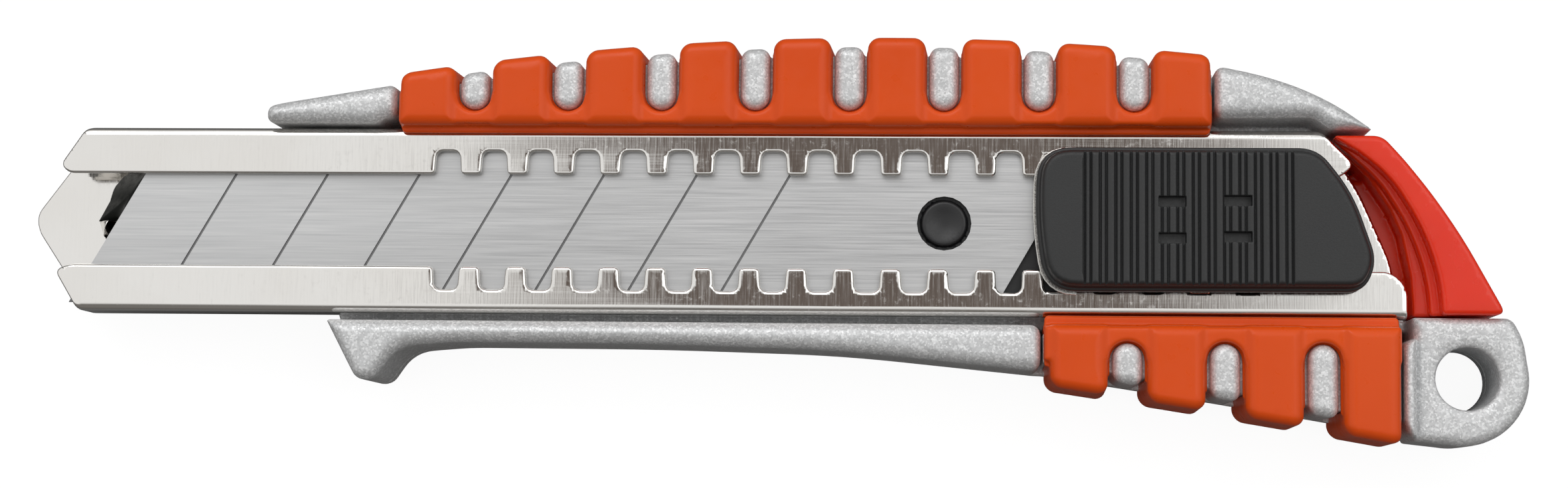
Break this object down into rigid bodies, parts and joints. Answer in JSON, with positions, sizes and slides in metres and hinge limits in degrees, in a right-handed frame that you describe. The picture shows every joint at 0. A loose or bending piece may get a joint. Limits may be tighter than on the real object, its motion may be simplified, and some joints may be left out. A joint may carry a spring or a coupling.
{
  "type": "snap-off utility knife",
  "caption": "Heavy-duty utility knife with a sliding snap-off blade in a steel channel, an auto-lock thumb slider, a cast handle with finger grips and a spare-blade magazine.",
  "frame": {"origin": "middle of the bounding box in X and Y, on the back face that the knife lies on", "axes": "+X along the knife from the blade's mouth to the lanyard lug, +Y from the cutting edge to the spine, +Z out of the front face, where the thumb slider is"},
  "size_m": [0.1608, 0.0426, 0.0144],
  "materials": {
    "cast_silver": "coarse sparkling silver paint over an aluminium casting",
    "channel_steel": "bright nickel plate, faint bend and drawing marks",
    "blade_steel": "satin, fine lengthwise grain",
    "spring_steel": "bright rolled spring steel",
    "screw_steel": "zinc plated",
    "grip_orange": "glossy smooth elastomer",
    "cap_red": "glossy, slightly see-through",
    "pad_black": "matte charcoal",
    "carrier_black": "satin black"
  },
  "bodies": {
    "root": {"handle_frame": "cast_silver", "back_cover": "cast_silver", "blade_channel": "channel_steel", "upper_grip": "grip_orange", "lower_grip": "grip_orange", "cover_screw_1": "screw_steel", "cover_screw_2": "screw_steel", "cover_screw_3": "screw_steel", "cover_screw_4": "screw_steel", "cover_screw_5": "screw_steel", "channel_rivet_1": "screw_steel", "channel_rivet_2": "screw_steel", "channel_rivet_3": "screw_steel", "spare_blade_1": "blade_steel", "spare_blade_2": "blade_steel", "spare_blade_3": "blade_steel"},
    "slider": {"slide_carrier": "carrier_black", "snap_blade": "blade_steel", "lock_spring": "spring_steel"},
    "thumb": {"thumb_pad": "pad_black"},
    "cap": {"end_cap": "cap_red"}
  },
  "joints": [
    {"name": "blade_slide", "type": "slide", "parent": "root", "child": "slider", "axis": [-1, 0, 0], "range_m": [0, 0.0652]},
    {"name": "lock_press", "type": "slide", "parent": "slider", "child": "thumb", "axis": [0, 0, -1], "range_m": [0, 0.0007], "stiffness_N_per_m": 1500, "deforming": ["lock_spring"]},
    {"name": "cap_pull", "type": "slide", "parent": "root", "child": "cap", "axis": [1, 0, 0], "range_m": [0, 0.03]}
  ]
}
